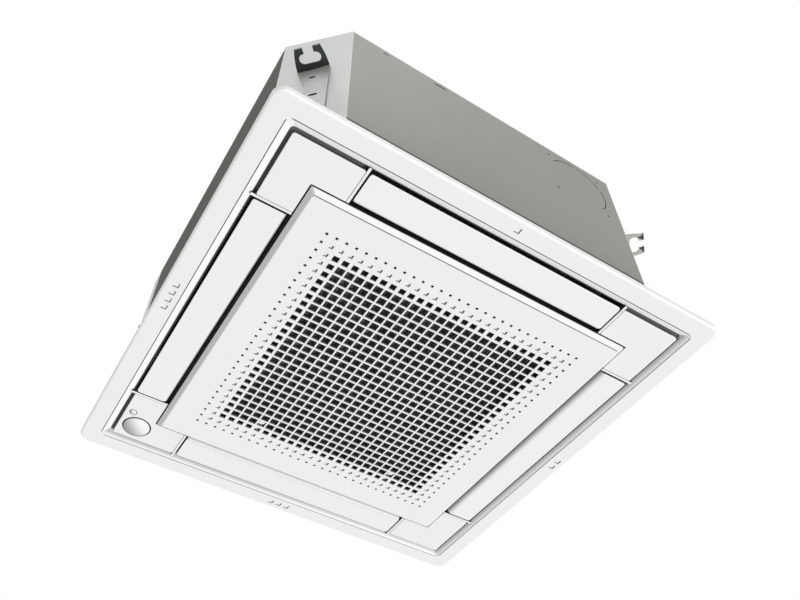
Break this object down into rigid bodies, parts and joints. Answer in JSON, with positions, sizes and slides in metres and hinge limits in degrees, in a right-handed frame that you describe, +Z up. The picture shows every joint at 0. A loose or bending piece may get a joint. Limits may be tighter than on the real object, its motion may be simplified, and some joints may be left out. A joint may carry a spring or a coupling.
{
  "type": "ceiling cassette air conditioner",
  "caption": "Square ceiling cassette air conditioner: sheet metal casing with corner hanger brackets over a white panel with tilting flaps and a lattice suction grille.",
  "frame": {"origin": "middle of the suction grille's face, the lowest level of the part, below the centre of the square panel", "axes": "+Z up to the casing's top; +X along the front side from left to right; -Y out of the front side, where the grille's hinge is; the sensor is in the rear left corner"},
  "size_m": [0.62, 0.62, 0.311],
  "materials": {
    "casing_sheet": "galvanised, satin",
    "bracket_steel": "galvanised, satin",
    "foam": "closed-cell foam, matte",
    "pan_foam": "moulded bead foam, matte",
    "grey_plastic": "moulded, matte",
    "steel": "zinc plated",
    "mount_rubber": "moulded, matte",
    "coil_fins": "fine fins, satin",
    "copper": "drawn copper, satin",
    "float_plastic": "moulded, matte",
    "panel_plastic": "moulded, satin white",
    "dark_plastic": "moulded, matte",
    "motor_plastic": "moulded, matte",
    "sensor_plastic": "translucent white, glossy",
    "filter_mesh": "fine woven mesh"
  },
  "bodies": {
    "unit": {"casing_wall": "casing_sheet", "top_plate": "casing_sheet", "pipe_plate": "casing_sheet", "control_box": "casing_sheet", "control_box_lid": "casing_sheet", "hanger_front_left": "bracket_steel", "hanger_front_right": "bracket_steel", "hanger_rear_right": "bracket_steel", "hanger_rear_left": "bracket_steel", "foam_liner": "foam", "panel_seal": "foam", "drain_pan": "pan_foam", "bell_mouth": "grey_plastic", "drain_pump": "grey_plastic", "drain_socket": "grey_plastic", "fan_motor": "steel", "hinge_pin_left": "steel", "hinge_pin_right": "steel", "panel_screw_front_left": "steel", "panel_screw_front_right": "steel", "panel_screw_rear_right": "steel", "panel_screw_rear_left": "steel", "motor_mount_1": "mount_rubber", "motor_mount_2": "mount_rubber", "motor_mount_3": "mount_rubber", "heat_exchanger": "coil_fins", "gas_pipe": "copper", "liquid_pipe": "copper", "float_switch": "float_plastic", "panel_frame": "panel_plastic", "corner_cover_front_left": "panel_plastic", "corner_cover_front_right": "panel_plastic", "corner_cover_rear_right": "panel_plastic", "corner_cover_rear_left": "panel_plastic", "panel_core": "dark_plastic", "flap_motor_front": "motor_plastic", "flap_motor_right": "motor_plastic", "flap_motor_rear": "motor_plastic", "flap_motor_left": "motor_plastic", "sensor_dome": "sensor_plastic", "receiver_lens": "sensor_plastic"},
    "fan": {"fan_wheel": "grey_plastic", "motor_shaft": "steel", "fan_nut": "steel"},
    "flap_front": {"flap_front": "panel_plastic"},
    "flap_right": {"flap_right": "panel_plastic"},
    "flap_rear": {"flap_rear": "panel_plastic"},
    "flap_left": {"flap_left": "panel_plastic"},
    "grille": {"suction_grille": "panel_plastic", "air_filter": "filter_mesh"},
    "latch_left": {"grille_latch_left": "panel_plastic"},
    "latch_right": {"grille_latch_right": "panel_plastic"},
    "float": {"float_ring": "float_plastic"}
  },
  "joints": [
    {"name": "fan_spin", "type": "hinge", "parent": "unit", "child": "fan", "pos_m": [0, 0, 0.24], "axis": [0, 0, 1], "continuous": true},
    {"name": "flap_front_tilt", "type": "hinge", "parent": "unit", "child": "flap_front", "pos_m": [0, -0.2376, 0.012], "axis": [1, 0, 0], "range_deg": [0, 50]},
    {"name": "flap_right_tilt", "type": "hinge", "parent": "unit", "child": "flap_right", "pos_m": [0.2376, 0, 0.012], "axis": [0, 1, 0], "range_deg": [0, 50]},
    {"name": "flap_rear_tilt", "type": "hinge", "parent": "unit", "child": "flap_rear", "pos_m": [0, 0.2376, 0.012], "axis": [-1, 0, 0], "range_deg": [0, 50]},
    {"name": "flap_left_tilt", "type": "hinge", "parent": "unit", "child": "flap_left", "pos_m": [-0.2376, 0, 0.012], "axis": [0, -1, 0], "range_deg": [0, 50]},
    {"name": "grille_swing", "type": "hinge", "parent": "unit", "child": "grille", "pos_m": [0, -0.2163, 0.01], "axis": [-1, 0, 0], "range_deg": [0, 80]},
    {"name": "latch_left_slide", "type": "slide", "parent": "grille", "child": "latch_left", "axis": [0, 1, 0], "range_m": [0, 0.005]},
    {"name": "latch_right_slide", "type": "slide", "parent": "grille", "child": "latch_right", "axis": [0, 1, 0], "range_m": [0, 0.005]},
    {"name": "float_lift", "type": "slide", "parent": "unit", "child": "float", "axis": [0, 0, 1], "range_m": [0, 0.01]}
  ]
}
